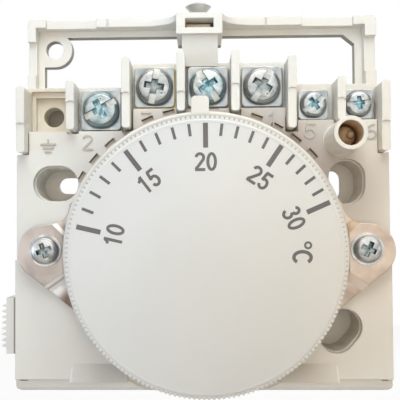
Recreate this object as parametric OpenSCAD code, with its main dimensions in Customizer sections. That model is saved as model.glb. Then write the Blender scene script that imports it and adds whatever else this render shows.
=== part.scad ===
// Room thermostat for a wall, with its cover taken off.
// While a piece is drawn, x runs to the right, y runs up and z comes out of the wall.
// stand() then turns it, so that the wall is at y = 0 and the front looks along -y.

/* [Body] */
// Width of the body across its lower half
body_w = 82.5; // [81.5:0.5:83.5]
// From the centre of the wall face down to the bottom edge
body_down = 42.1; // [41.7:0.1:42.4]
// From the wall to the face of the front panel
panel_front = 15; // [14.75:0.05:15.25]
// Thickness of the front panel
panel_t = 2.2; // [1.8:0.1:2.3]
// Thickness of the side walls
wall_t = 1.9; // [1.5:0.1:2]
// Thickness of the floor against the wall
floor_t = 2; // [1.8:0.1:2.1]

/* [Wiring frame] */
// Half the width of the open frame above the terminals
frame_half_w = 40.1; // [39.9:0.1:40.3]
// From the centre of the wall face up to the top edge
frame_top = 42.1; // [41.7:0.1:42.3]
// From the wall to the front of the rim
rim_front = 7; // [6.5:0.25:7.5]
// Thickness of the rim
rim_t = 1.8; // [1.6:0.1:2]
// Depth of the flange that lies on the wall
flange_front = 3; // [2.5:0.25:3.5]
// Radius of the round boss in the corner
boss_r = 4.1; // [3.9:0.1:4.3]
// Radius of the fixing hole in the boss
boss_hole_r = 2.1; // [1.9:0.1:2.3]
// From the wall to the front of the block that takes the cover screw
block_front = 15.5; // [15:0.25:16]

/* [Terminals] */
// From the wall to the platform that carries the terminals
platform_front = 11; // [10.75:0.05:11.25]
// From the wall to the front of the barriers
barrier_front = 19.4; // [19:0.1:20]
// Thickness of a barrier
barrier_t = 1.8; // [1.6:0.1:1.9]
// Side of the large clamping plates
big_plate = 9; // [8.6:0.1:9.2]
// Side of the small clamping plates
small_plate = 6.6; // [6.2:0.1:6.8]
// Turns that open a terminal fully
open_turns = 3; // [2:1:4]

/* [Wall fixings] */
// Radius of the round recesses over the fixing slots
recess_r = 4; // [3.8:0.1:4.1]
// Half the width of the fixing slots
slot_r = 1.9; // [1.7:0.1:2]

/* [Dial] */
// Radius over the teeth
dial_r = 27.3; // [26.8:0.1:27.6]
// Number of teeth on the rim
tooth_count = 180; // [120:10:200]
// Depth of a tooth
tooth_depth = 0.6; // [0.4:0.1:0.8]
// From the wall to the face
dial_front = 38; // [37:0.5:39]
// From the wall to the back edge
dial_back = 22; // [21.8:0.2:23]
// Thickness of the face
dial_face_t = 1.8; // [1.4:0.1:2.2]
// Dial axis to the right of the centre of the wall face
dial_x = 0.65; // [0.4:0.05:0.9]
// Dial axis above the centre of the wall face
dial_y = -11.95; // [-12.1:0.05:-11.8]

/* [Sensing] */
// Thickness of the sheet bracket
bracket_t = 1; // [0.8:0.1:1]
// From the dial axis to each bracket screw
ear_reach = 34.7; // [34.5:0.1:34.9]
// Radius of the bracket's ears
ear_r = 5.9; // [5.7:0.1:6]
// Radius of the vapour capsule
capsule_r = 23; // [21:0.5:24]
// Number of vent slots round the dial
vent_count = 13; // [7:1:13]

/* [Side switch] */
// Length of the sliding knob
knob_len = 12.6; // [12:0.2:13]
// Travel of the knob
knob_travel = 4; // [3:0.5:4]
// Number of ribs on the knob
rib_count = 8; // [4:1:8]

/* [Lamp tube] */
// Tube axis to the right of the centre
tube_x = 30.25; // [30:0.05:30.5]
// Tube axis above the centre
tube_y = 12.8; // [12.6:0.1:13]
// Outer radius of the tube
tube_r = 3.45; // [3.3:0.05:3.6]
// Radius of the tube's bore
tube_bore_r = 2.6; // [2.5:0.05:2.7]
// From the wall to the mouth of the tube
tube_front = 29; // [27:0.5:30]

/* [Hidden] */
$fn = 96;
eps = 0.01;

half_w = body_w / 2;
upper_half_w = half_w - 0.35;
waist_y = -13.3;
shoulder_y = 10;
ledge_y = -body_down + 2.45;
ledge_front = panel_front - 1;
panel_back = panel_front - panel_t;
panel_bottom_y = ledge_y + 0.2;
platform_foot_y = 12.6;

// Tops of the three terminal platforms and of the panel below them
left_top_y = 25.4;
mid_top_y = 30.7;
right_top_y = 25.75;
panel_left_y = 15.1;
panel_mid_y = 19.95;
panel_right_y = 17.2;

// Barriers: middle in x, foot, top and the height of the small step
barriers = [
    [-39.3, 10.2, 24.6, 16.6],
    [-28.5, 15.1, 25.7, 21.3],
    [-16.4, 15.4, 30.7, 23.1],
    [-4.45, 19.0, 32.0, 23.2],
    [7.35, 18.9, 32.0, 24.8],
    [19.55, 15.1, 30.7, 23.8],
    [30.1, 16.7, 26.0, 21.5],
    [39.5, 10.0, 25.1, 16.5]
];

// Terminals in order of their numbers: x, y, turn of the screw slot, tail to the left or right
terminals = [
    [13.45, 25, 60, 1],
    [-22.45, 20, 29, 1],
    [-10.43, 25, 80, -1],
    [1.45, 25, -57, 1],
    [24.8, 20.8, 36, -1],
    [34.7, 20.85, 6, -1]
];
small_from = 5;
strip_t = 1.1;
plate_back = platform_front + strip_t;
plate_t = 1.1;
head_back = plate_back + plate_t;

// Rest places of the three fixing recesses: two arc centres each
left_recess = [[-33.3, 3.5], [-31.3, 3.5]];
right_recess = [[31.7, 2.6], [31.7, 4.6]];
lower_recess = [[30.7, -28.1], [29.15, -29.85]];
left_slot = [[-31.9, 3.7], [-29.4, 3.7]];
right_slot = [[30.45, 2.0], [30.45, 4.9]];
well_wall = 1.2;
lip = 0.25;

boss_at = [-34.5, 35.8];
block_x = [-5.5, 4.75];
block_y = [36.5, 41.15];
window_x = [-3.5, 2.8];
window_y = [37.85, 39.95];
cover_screw_x = -0.6;
cover_screw_z = 8.25;
cover_screw_r = 1.5;
nut_side = 5.5;
nut_t = 1.8;

ear_y = dial_y + 0.85;
ear_front = panel_front + 2.5;
disc_front = ear_front - 1.1;
disc_r = 29;
washer_t = 0.6;
post_r = 3.4;
m3_r = 1.5;
m4_r = 2;
fit = 0.02;
run = 0.05;

ring_r = 30.55;
ring_front = 21;
bush_r = 5;
spindle_r = 3;
blade_t = 0.4;
blade_z = 4.2;
blade_foot = dial_y - 18;
blade_tip = dial_y + 12;
roll_r = 0.45;

stem_y = -30.7;
knob_low = -34.5;
knob_z = [4, 10];

ivory = [0.90, 0.89, 0.86];
cap_white = [0.93, 0.92, 0.90];
zinc = [0.72, 0.76, 0.78];
steel = [0.70, 0.69, 0.66];
tan_steel = [0.78, 0.69, 0.60];
brass = [0.80, 0.63, 0.30];
spring_bronze = [0.76, 0.52, 0.30];

// Helpers

module stand() {
    rotate([90, 0, 0]) children();
}

module slab(z0, z1) {
    translate([0, 0, z0]) linear_extrude(z1 - z0) children();
}

module area(x0, x1, y0, y1) {
    translate([x0, y0]) square([x1 - x0, y1 - y0]);
}

module rounded_area(x0, x1, y0, y1, r) {
    area(x0 + r, x1 - r, y0, y1);
    area(x0, x1, y0 + r, y1 - r);
    for (x = [x0 + r, x1 - r], y = [y0 + r, y1 - r]) translate([x, y]) circle(r);
}

// A stadium round two arc centres
module stadium(ends, r) {
    run_len = norm(ends[1] - ends[0]);
    turn = atan2(ends[1][1] - ends[0][1], ends[1][0] - ends[0][0]);
    for (p = ends) translate(p) circle(r);
    translate(ends[0]) rotate(turn) translate([0, -r]) square([run_len, 2 * r]);
}

// Everything on the side of a line that the angle points to
module half_plane(point, angle) {
    translate(point) rotate(angle) translate([0, -60]) square([120, 120]);
}

// A profile drawn in y and z, run along x
module along_x(x0, x1) {
    translate([x0, 0, 0]) rotate([90, 0, 90]) linear_extrude(x1 - x0) children();
}

// Body

module body_area() {
    rounded_area(-half_w, half_w, -body_down, waist_y, 1.1);
    area(-upper_half_w, upper_half_w, waist_y - 4, shoulder_y);
}

module platform_area() {
    area(-frame_half_w, -15.5, platform_foot_y, left_top_y);
    area(-17.3, 20.45, platform_foot_y, mid_top_y);
    area(18.65, frame_half_w, platform_foot_y, right_top_y);
}

module side_walls() {
    slab(0, panel_back) difference() {
        union() {
            body_area();
            area(-frame_half_w, frame_half_w, shoulder_y - 1, platform_foot_y + 1);
        }
        rounded_area(-half_w + wall_t, half_w - wall_t, ledge_y, waist_y + 3, 1);
        area(-upper_half_w + wall_t, upper_half_w - wall_t, waist_y, platform_foot_y + 2);
    }
}

// The bottom wall stands a little proud below the panel, with a rounded edge
module bottom_ledge() {
    edge_r = 1.8;
    intersection() {
        slab(0, ledge_front) body_area();
        along_x(-half_w, half_w) {
            translate([-body_down + edge_r, 0]) square([ledge_y + body_down - edge_r, ledge_front]);
            translate([-body_down, 0]) square([edge_r, ledge_front - edge_r]);
            translate([-body_down + edge_r, ledge_front - edge_r]) intersection() {
                circle(edge_r);
                translate([-edge_r, 0]) square(edge_r);
            }
        }
    }
}

// The lower stretch of a barrier lies a little deeper and ends in a flat arc
module barrier(b) {
    x0 = b[0] - barrier_t / 2;
    x1 = b[0] + barrier_t / 2;
    arc_r = 1.35;
    slab(0, barrier_front - 0.4) rounded_area(x0, x1, b[1], b[2], 0.65);
    slab(0, barrier_front) difference() {
        rounded_area(x0, x1, b[1], b[2], 0.65);
        area(x0 - 1, x1 + 1, b[1] - 1, b[3] - arc_r);
        translate([b[0], b[3] - arc_r]) circle(arc_r);
    }
}

// Rim and flange round the open space that the wires come through
module wiring_frame() {
    inner_left = -frame_half_w + rim_t;
    inner_right = frame_half_w - rim_t - 0.7;
    rim_low_y = platform_foot_y + 6;
    hole_left = -36.9;
    hole_right = 35.85;
    hole_top = 38.7;
    difference() {
        slab(0, rim_front) rounded_area(-frame_half_w, frame_half_w, rim_low_y, frame_top, 0.8);
        slab(flange_front, rim_front + 1)
            area(inner_left, inner_right, rim_low_y - 1, frame_top - rim_t - 0.1);
        slab(-1, flange_front + 1) difference() {
            polygon([[hole_left, rim_low_y - 1], [hole_right, rim_low_y - 1], [hole_right, 36.5],
                [hole_right - 2.7, hole_top], [hole_left, hole_top]]);
            translate(boss_at) circle(boss_r);
            area(hole_left, boss_at[0], boss_at[1], hole_top);
            area(hole_left, boss_at[0], boss_at[1] - boss_r, boss_at[1]);
            area(boss_at[0], boss_at[0] + boss_r * 0.7, boss_at[1], hole_top);
        }
        // Lowered stretches of the rim, and the two fine grooves
        slab(rim_front - 1.6, rim_front + 1) {
            area(-36, -24.3, frame_top - 3, frame_top + 1);
            area(23.2, 35, frame_top - 3, frame_top + 1);
            area(-frame_half_w - 1, inner_left + 1, 29.2, 36.9);
            area(inner_right - 1, frame_half_w + 1, 29.5, 37.6);
        }
        slab(rim_front - 0.6, rim_front + 1) {
            area(-21.8, -21.4, frame_top - 3, frame_top + 1);
            area(14.8, 15.1, frame_top - 3, frame_top + 1);
        }
        translate([boss_at[0], boss_at[1], -1]) cylinder(r = boss_hole_r, h = rim_front + 2);
    }
}

// Block for the cover screw, its sloping arm and the fillets that run down to the rim
module screw_block() {
    fillet_r = 6.3;
    arm_x = [-4.25, 3.7];
    difference() {
        union() {
            slab(0, block_front) rounded_area(block_x[0], block_x[1], block_y[0], block_y[1], 0.3);
            along_x(arm_x[0], arm_x[1]) polygon([[mid_top_y - 1, 0], [block_y[0] + 0.5, 0],
                [block_y[0] + 0.5, block_front - 0.8], [mid_top_y - 1, panel_back]]);
            for (side = [0, 1])
                translate([block_x[side], frame_top - rim_t, rim_front])
                    mirror([side == 0 ? 1 : 0, 0, 0])
                        rotate([90, 0, 0]) mirror([0, 0, 1]) linear_extrude(rim_t - 0.4)
                            difference() {
                                translate([0, -1]) square([fillet_r, fillet_r + 1]);
                                translate([fillet_r, fillet_r]) circle(fillet_r);
                            }
        }
        // Window that shows the nut
        slab(cover_screw_z - nut_side / 2 - 0.2, block_front + 1)
            area(window_x[0], window_x[1], window_y[0], window_y[1]);
    }
}

// Stadium wells that lead from the panel's recesses to the fixing slots
module wells() {
    for (ends = [left_recess, right_recess, lower_recess])
        slab(0, panel_back) stadium(ends, recess_r + well_wall - lip);
}

module well_cuts() {
    for (ends = [left_recess, right_recess, lower_recess])
        slab(floor_t, panel_back + 1) stadium(ends, recess_r - lip);
    for (ends = [left_slot, right_slot]) slab(-1, floor_t + 1) stadium(ends, slot_r);
}

module terminal_pockets() {
    for (k = [1 : len(terminals)])
        translate([terminals[k - 1][0], terminals[k - 1][1], 3])
            cylinder(r = k < small_from ? 3.2 : 2.5, h = platform_front);
}

// The bay at the far left has no terminal: a stepped recess with a round hole
module earth_bay() {
    slab(platform_front - 1, platform_front + 1) area(-38.4, -29.4, 15.6, 24.6);
    slab(platform_front - 2.5, platform_front) area(-37.6, -29.4, 15.6, 23.3);
    translate([-33.75, 19.1, 2.6]) cylinder(r = 2.3, h = 8);
}

module rear_base() {
    stem_cut = [stem_y - knob_travel - 0.2, stem_y + 5.2];
    color(ivory) stand() difference() {
        union() {
            slab(0, floor_t) {
                body_area();
                area(-frame_half_w, frame_half_w, shoulder_y - 1, platform_foot_y + 1);
            }
            side_walls();
            bottom_ledge();
            slab(0, platform_front) platform_area();
            for (b = barriers) barrier(b);
            wiring_frame();
            screw_block();
            wells();
            for (side = [-1, 1])
                translate([dial_x + side * ear_reach, ear_y, 0])
                    cylinder(r = post_r, h = ear_front - bracket_t);
        }
        well_cuts();
        terminal_pockets();
        earth_bay();
        for (side = [-1, 1])
            translate([dial_x + side * ear_reach, ear_y, 4]) cylinder(r = m3_r + fit, h = 20);
        // Pocket at the foot of the sixth barrier
        slab(4, platform_front + 1) {
            area(18.5, 21.1, 14.3, 15.1);
            area(20.45, 21.1, 14.3, 17.9);
        }
        // Slots in the ledge for the cover's hooks
        slab(ledge_front - 3, ledge_front + 1) {
            area(-40.3, -38.6, ledge_y - 0.2, panel_bottom_y);
            area(38.9, 40.4, ledge_y - 0.2, panel_bottom_y);
        }
        // The way of the cover screw
        translate([cover_screw_x, 33, cover_screw_z]) rotate([-90, 0, 0])
            cylinder(r = cover_screw_r + 0.1, h = 12);
        // Slot that the side switch reaches through
        slab(knob_z[0] + 0.8, knob_z[1] - 0.8)
            area(-half_w - 1, -half_w + wall_t + 0.5, stem_cut[0], stem_cut[1]);
    }
}

// Front panel

module panel_area() {
    notch = 0.15;
    difference() {
        union() {
            area(-half_w, half_w, panel_bottom_y, waist_y);
            area(-upper_half_w, upper_half_w, waist_y - 1, shoulder_y);
            area(-38.2, 38.5, shoulder_y - 1, panel_left_y);
            area(-15.1, 18.5, panel_left_y - 1, panel_mid_y);
            area(18.4, 38.5, panel_left_y - 1, panel_right_y);
        }
        for (b = barriers)
            area(b[0] - barrier_t / 2 - notch, b[0] + barrier_t / 2 + notch, b[1] - notch, 40);
        area(-29.75, -27.2, 14.55, 16);
        area(18.4, 21.15, 14.65, 18);
        area(7.35, 7.35 + barrier_t / 2 + 0.35, 17.9, 21);
        // Openings
        for (ends = [left_recess, right_recess, lower_recess]) stadium(ends, recess_r);
        translate([dial_x, dial_y]) circle(25.5);
        for (side = [-1, 1]) translate([dial_x + side * ear_reach, ear_y]) circle(post_r + 0.3);
        translate([tube_x, tube_y]) circle(tube_bore_r);
    }
}

// Each vent is a shallow pocket with a slit through the panel along its outer side
module vent_slots() {
    vent_r = 32.05;
    first = 42.6;
    step = 8.8;
    for (k = [0 : vent_count - 1])
        translate([dial_x, dial_y, 0]) rotate(first + k * step) {
            translate([vent_r - 0.5, -1.3, panel_front - 0.7]) cube([1, 2.6, 2]);
            translate([vent_r + 0.3, -1.3, panel_back - 1]) cube([0.2, 2.6, panel_t + 2]);
        }
}

// Ramp at the bottom edge, which rises towards the edge
module hook_ramp(x0, x1) {
    rise = 3.4;
    along_x(x0, x1) polygon([[-36, panel_front - 0.3], [-36, panel_front],
        [panel_bottom_y - 0.1, panel_front + rise], [panel_bottom_y - 0.1, panel_front - 0.3]]);
}

module lamp_tube() {
    foot_r = 0.35;
    translate([tube_x, tube_y, panel_front - 0.1]) rotate_extrude()
        difference() {
            union() {
                translate([tube_bore_r, 0]) square([tube_r - tube_bore_r, tube_front - panel_front + 0.1]);
                translate([tube_r - 0.1, 0]) square([foot_r + 0.1, foot_r + 0.1]);
            }
            translate([tube_r + foot_r, foot_r + 0.1]) circle(foot_r);
        }
}

module front_panel() {
    color(ivory) stand() {
        difference() {
            slab(panel_back, panel_front) panel_area();
            vent_slots();
        }
        hook_ramp(-28.8, -16.3);
        hook_ramp(16.6, 29.2);
        lamp_tube();
    }
}

// Sensing parts

// Outline of the left ear, measured from the dial axis
module ear_area() {
    fillet_at = [-34.2, 10.9];
    fillet_r = 4.5;
    difference() {
        union() {
            translate([-ear_reach - 0.3, 0.5]) circle(ear_r);
            polygon([[-38.6, -4.1], [-27.5, -13.2], [-20, -13.2], [-20, 12.9], [-27.3, 12.9],
                [-29.7, 10.9], [-34.2, 6.4], [-35, 6.4]]);
        }
        translate(fillet_at) circle(fillet_r);
    }
}

// Bend lines of the left ear: a point on each and the way that the sheet steps down
bends = [[[-33.3, 6.4], 45], [[-34.4, -6.4], -55]];
ramp_run = 1.9;

// The raised part of the ear inside its bend lines, grown outwards
module raised_area(grow) {
    difference() {
        area(-50, -31 + grow, -14, 14);
        for (b = bends) half_plane(b[0] + grow * [cos(b[1]), sin(b[1])], b[1]);
    }
}

// A flat-topped mound whose slopes follow the bends
module mound(low, high) {
    hull() {
        slab(low - 3, low) raised_area(ramp_run);
        slab(low - 3, high) raised_area(0);
    }
}

module half_bracket() {
    intersection() {
        slab(disc_front - bracket_t, ear_front) ear_area();
        difference() {
            mound(disc_front, ear_front);
            mound(disc_front - bracket_t, ear_front - bracket_t);
        }
    }
    slab(disc_front - bracket_t, disc_front) difference() {
        ear_area();
        raised_area(ramp_run - 0.1);
    }
}

module sensor_bracket() {
    color(tan_steel) stand() translate([dial_x, dial_y, 0]) difference() {
        union() {
            slab(disc_front - bracket_t, disc_front) circle(disc_r);
            half_bracket();
            mirror([1, 0, 0]) half_bracket();
        }
        translate([0, 0, panel_front - 2]) cylinder(r = bush_r + fit, h = 5);
        for (side = [-1, 1])
            translate([side * ear_reach, 0.85, panel_front - 2]) cylinder(r = m3_r + 0.2, h = 8);
    }
}

// Ring under the dial, with the tab that is held between two barriers
module stop_ring() {
    tab_x = [-2.2, 1.6];
    tab_y = 21.85;
    tab_corner = 0.9;
    lip_r = 0.7;
    color(cap_white) stand() {
        translate([dial_x, dial_y, 0]) rotate_extrude() polygon(concat(
            [[26.8, disc_front], [28.6, disc_front], [28.6, ear_front + 0.8], [ring_r, ear_front + 0.8]],
            [for (a = [0 : 15 : 90]) [ring_r - lip_r + lip_r * cos(a), ring_front - lip_r + lip_r * sin(a)]],
            [[29, ring_front], [28.2, ring_front - 0.25], [26.8, ring_front - 1.8]]));
        slab(ring_front - 1.7, ring_front) {
            area(tab_x[0], tab_x[1], dial_y + 29.2, tab_y - tab_corner);
            area(tab_x[0] + tab_corner, tab_x[1] - tab_corner, dial_y + 29.2, tab_y);
            for (x = [tab_x[0] + tab_corner, tab_x[1] - tab_corner])
                translate([x, tab_y - tab_corner]) circle(tab_corner);
        }
    }
}

module threaded_bush() {
    color(brass) stand() translate([dial_x, dial_y, 0]) difference() {
        union() {
            translate([0, 0, 13.2]) cylinder(r = bush_r, h = disc_front - 13.2);
            translate([0, 0, disc_front]) cylinder(r = bush_r + 1.5, h = 1);
        }
        translate([0, 0, 12]) cylinder(r = spindle_r + run, h = 8);
    }
}

// A tooth has a short flat tip and a sharp root
module tooth_ring() {
    pitch = 360 / tooth_count;
    root_r = dial_r - tooth_depth;
    polygon([for (k = [0 : tooth_count - 1]) for (s = [0, 1, 2])
        let (a = (k + [0, 0.3, 0.7][s]) * pitch, r = s == 0 ? root_r : dial_r)
            [r * cos(a), r * sin(a)]]);
}

module dial() {
    inner_r = dial_r - 2.2;
    hub_r = 5.2;
    hub_back = dial_back + 1.5;
    roof = dial_front - dial_face_t;
    color(cap_white) stand() translate([dial_x, dial_y, 0]) difference() {
        union() {
            difference() {
                union() {
                    slab(dial_back, dial_front - 0.12) tooth_ring();
                    translate([0, 0, dial_front - 0.5])
                        cylinder(r = dial_r - tooth_depth - 0.1, h = 0.38);
                    translate([0, 0, dial_front - 0.12])
                        cylinder(r1 = dial_r - tooth_depth - 0.1, r2 = dial_r - tooth_depth - 0.25, h = 0.12);
                }
                translate([0, 0, dial_back - 1]) cylinder(r = inner_r, h = roof - dial_back + 1);
            }
            translate([0, 0, hub_back]) cylinder(r = hub_r, h = roof - hub_back + 0.5);
            for (k = [0 : 7]) rotate(k * 45 + 22.5)
                translate([hub_r - 0.5, -0.6, roof - 6]) cube([inner_r - hub_r + 1, 1.2, 6.5]);
        }
        translate([0, 0, dial_back]) cylinder(r = spindle_r + fit, h = roof - 1 - dial_back);
        // Shallow recess for the printed scale
        translate([0, 0, dial_front - 0.05]) cylinder(r = dial_r - 1.3, h = 1);
    }
}

module dial_spindle() {
    color(brass) stand() translate([dial_x, dial_y, 12.75])
        cylinder(r = spindle_r, h = dial_front - dial_face_t - 1 - 12.75);
}

// Two corrugated discs joined at the rim, filled with vapour
module vapour_capsule() {
    low = 7.6;
    high = 12;
    color(steel) stand() translate([dial_x, dial_y, 0]) rotate_extrude()
        polygon([[0, low], [8, low], [9.5, low + 0.6], [12, low + 0.6], [13.5, low],
            [16, low], [17.5, low + 0.6], [20, low + 0.6], [21, low + 1.6],
            [capsule_r, low + 1.6], [capsule_r, low + 2.4], [21, low + 2.4],
            [20, high - 0.6], [17.5, high - 0.6], [16, high], [13.5, high],
            [12, high - 0.6], [9.5, high - 0.6], [8, high], [4, high], [4, high + 0.4],
            [0, high + 0.4]]);
}

module push_pin() {
    color([0.88, 0.86, 0.78]) stand() translate([dial_x, dial_y, blade_z + blade_t + 0.1])
        cylinder(r = 1.2, h = 7.6 - blade_z - blade_t - 0.1);
}

module snap_blade() {
    color(spring_bronze) stand() difference() {
        union() {
            slab(blade_z, blade_z + blade_t)
                rounded_area(dial_x - 2.5, dial_x + 2.5, blade_foot, blade_tip + 1.5, 0.8);
            translate([dial_x, blade_tip - 0.8, blade_z - 0.45]) cylinder(r = 1.5, h = 1.3);
            // Rolled foot, which the blade turns on
            translate([dial_x - 2.5, blade_foot, blade_z + blade_t / 2]) rotate([0, 90, 0])
                cylinder(r = roll_r, h = 5);
        }
        // The two long windows that let the middle tongue snap over
        for (side = [-1, 1])
            slab(blade_z - 1, blade_z + 1)
                area(dial_x + side * 1.5 - 0.3, dial_x + side * 1.5 + 0.3, blade_foot + 5, dial_y - 3);
    }
}

module blade_anchor() {
    color(brass) stand() difference() {
        union() {
            slab(floor_t, blade_z + blade_t + 0.4)
                area(dial_x - 3, dial_x + 3, blade_foot - 2.6, blade_foot - 0.1);
            slab(floor_t, floor_t + 0.8) area(dial_x - 3, dial_x + 3, blade_foot - 6, blade_foot - 2);
        }
        translate([dial_x - 4, blade_foot, blade_z + blade_t / 2]) rotate([0, 90, 0])
            cylinder(r = roll_r + run, h = 8);
    }
}

module contact_front() {
    leg_y = blade_tip + 3.5;
    color(brass) stand() {
        slab(floor_t, 6.4) area(dial_x - 2.5, dial_x + 2.5, leg_y, leg_y + 0.8);
        slab(5.65, 6.4) area(dial_x - 2.5, dial_x + 2.5, blade_tip - 2.4, leg_y + 0.4);
    }
}

module contact_rear() {
    color(brass) stand() {
        slab(floor_t, floor_t + 0.6) area(dial_x - 2.5, dial_x + 2.5, blade_tip - 3, blade_tip + 2.6);
        translate([dial_x, blade_tip - 0.8, floor_t + 0.4]) cylinder(r = 1.5, h = 0.7);
    }
}

// A resistor lies along x on the floor of the base
module resistor(x, y, len, r) {
    translate([x, y, floor_t + r]) rotate([0, 90, 0]) {
        cylinder(r = r, h = len);
        translate([0, 0, -2.5]) cylinder(r = 0.3, h = len + 5);
    }
}

module anticipator_resistor() {
    color([0.72, 0.60, 0.42]) stand() resistor(10, -37, 8, 1.25);
}

// Lamp

module neon_lamp() {
    glass_r = 2.3;
    low = panel_back - 0.2;
    high = 24.5;
    color([0.85, 0.50, 0.25]) stand() translate([tube_x, tube_y, 0]) {
        rotate_extrude() {
            translate([0, low + 1]) square([glass_r, high - low - 1 - glass_r]);
            translate([0, low]) square([glass_r - 0.6, 1.5]);
            translate([0, high - glass_r]) intersection() {
                circle(glass_r);
                square(glass_r + 1);
            }
        }
        for (side = [-1, 1])
            translate([side * 0.9, 0, platform_front]) cylinder(r = 0.3, h = 2.5);
    }
}

module neon_resistor() {
    color([0.62, 0.42, 0.26]) stand() resistor(16, 8, 6.5, 1.1);
}

// Side switch

module slide_knob() {
    inner_x = -half_w + wall_t;
    face_x = -half_w - 3.1;
    rib_pitch = 1.3;
    ribs_low = stem_y + 2.5 - rib_pitch * rib_count / 2;
    color(ivory) stand() {
        slab(knob_z[0], knob_z[1])
            area(face_x, -half_w - 0.1, knob_low, knob_low + knob_len);
        for (k = [0 : rib_count - 1])
            slab(knob_z[0], knob_z[1])
                translate([face_x, ribs_low + (k + 0.5) * rib_pitch])
                    polygon([[0.1, -0.45], [-1, -0.1], [-1, 0.1], [0.1, 0.45]]);
        slab(knob_z[0] + 1, knob_z[1] - 1)
            area(-half_w - 0.5, inner_x + 0.6, stem_y, stem_y + 5);
        slab(knob_z[0], knob_z[1])
            area(inner_x + 0.1, inner_x + 1.5, stem_y - 2.3, stem_y + 7.3);
    }
}

module slide_bridge() {
    back_x = -half_w + wall_t + 1.5;
    color(spring_bronze) stand() slab(knob_z[0] + 1, knob_z[1] - 1)
        area(back_x, back_x + 0.8, stem_y - 0.3, stem_y + 5.3);
}

module slide_contact(y) {
    face_x = -half_w + wall_t + 2.4;
    color(brass) stand() {
        slab(floor_t, knob_z[1] - 1) area(face_x, face_x + 0.8, y, y + 1.6);
        slab(floor_t, floor_t + 0.6) area(face_x, face_x + 6, y, y + 1.6);
    }
}

module slide_contact_upper() {
    slide_contact(stem_y + 3.3);
}

module slide_contact_lower() {
    slide_contact(stem_y + 0.1);
}

// Screws

// A pan head with a slot and a cross, standing on z = 0, with its shank below
module pan_screw(head_r, head_h, shank_r, shank_len) {
    dome_r = head_r * 1.9;
    edge_h = head_h * 0.45;
    difference() {
        union() {
            intersection() {
                cylinder(r = head_r, h = head_h);
                translate([0, 0, head_h - dome_r]) sphere(dome_r);
            }
            cylinder(r = head_r, h = edge_h);
            translate([0, 0, -shank_len]) cylinder(r = shank_r, h = shank_len + edge_h);
        }
        slot_w = head_r * 0.32;
        translate([-head_r - 1, -slot_w / 2, head_h * 0.55]) cube([2 * head_r + 2, slot_w, head_h]);
        for (turn = [0, 90]) rotate(turn)
            translate([-head_r * 0.56, -head_r * 0.16, head_h * 0.3])
                cube([head_r * 1.12, head_r * 0.32, head_h]);
    }
}

module terminal_strip(k) {
    t = terminals[k - 1];
    big = k < small_from;
    side = big ? 8.9 : 6.2;
    shank = big ? m4_r : m3_r;
    // Big strips lie a little to the right and below their plates
    aside = big ? 0.28 : 0;
    tail_x = t[0] + aside + t[3] * (side / 2 - 1.6);
    color(brass) stand() difference() {
        union() {
            slab(platform_front, plate_back) {
                translate([t[0] + aside - side / 2, t[1] - aside - side / 2]) square(side);
                area(tail_x - 1.6, tail_x + 1.6, t[1] - side / 2 - 6, t[1] - side / 2 + 1);
            }
            translate([t[0], t[1], platform_front - 3]) cylinder(r = shank + 0.9, h = 3);
        }
        translate([t[0], t[1], 0]) cylinder(r = shank + run, h = 20);
    }
}

module clamp_plate(k) {
    t = terminals[k - 1];
    big = k < small_from;
    side = big ? big_plate : small_plate;
    color(zinc) stand() difference() {
        slab(plate_back, head_back)
            rounded_area(t[0] - side / 2, t[0] + side / 2, t[1] - side / 2, t[1] + side / 2, 0.8);
        translate([t[0], t[1], 0]) cylinder(r = (big ? m4_r : m3_r) + 0.1, h = 20);
    }
}

module terminal_screw(k) {
    t = terminals[k - 1];
    big = k < small_from;
    color(zinc) stand() translate([t[0], t[1], head_back]) rotate(t[2])
        pan_screw(big ? 4 : 2.8, big ? 2.4 : 2, big ? m4_r : m3_r, 7.5);
}

module bracket_washer(side) {
    color(steel) stand() translate([dial_x + side * ear_reach, ear_y, ear_front]) difference() {
        cylinder(r = 3.5, h = washer_t);
        translate([0, 0, -1]) cylinder(r = m3_r + fit, h = 3);
    }
}

module bracket_screw(side) {
    color(steel) stand()
        translate([dial_x + side * ear_reach, ear_y, ear_front + washer_t]) rotate(side * 30)
            pan_screw(3, 2.1, m3_r, 10);
}

// Raised countersunk screw, standing upright in the top block
module cover_screw() {
    color(steel) stand() translate([cover_screw_x, 0, cover_screw_z]) rotate([-90, 0, 0])
        difference() {
            union() {
                translate([0, 0, 36.9]) cylinder(r = cover_screw_r, h = 6);
                translate([0, 0, 42.45]) cylinder(r1 = cover_screw_r, r2 = 2.95, h = 1.75);
                intersection() {
                    translate([0, 0, 44.15]) cylinder(r = 2.95, h = 2);
                    translate([0, 0, 40.3]) sphere(4.85);
                }
            }
            translate([-4, -0.4, 44.3]) cube([8, 0.8, 2]);
        }
}

module cover_nut() {
    color(brass) stand() difference() {
        translate([cover_screw_x - nut_side / 2, window_y[0], cover_screw_z - nut_side / 2])
            cube([nut_side, nut_t, nut_side]);
        translate([cover_screw_x, 35, cover_screw_z]) rotate([-90, 0, 0])
            cylinder(r = cover_screw_r + run, h = 8);
    }
}

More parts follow.
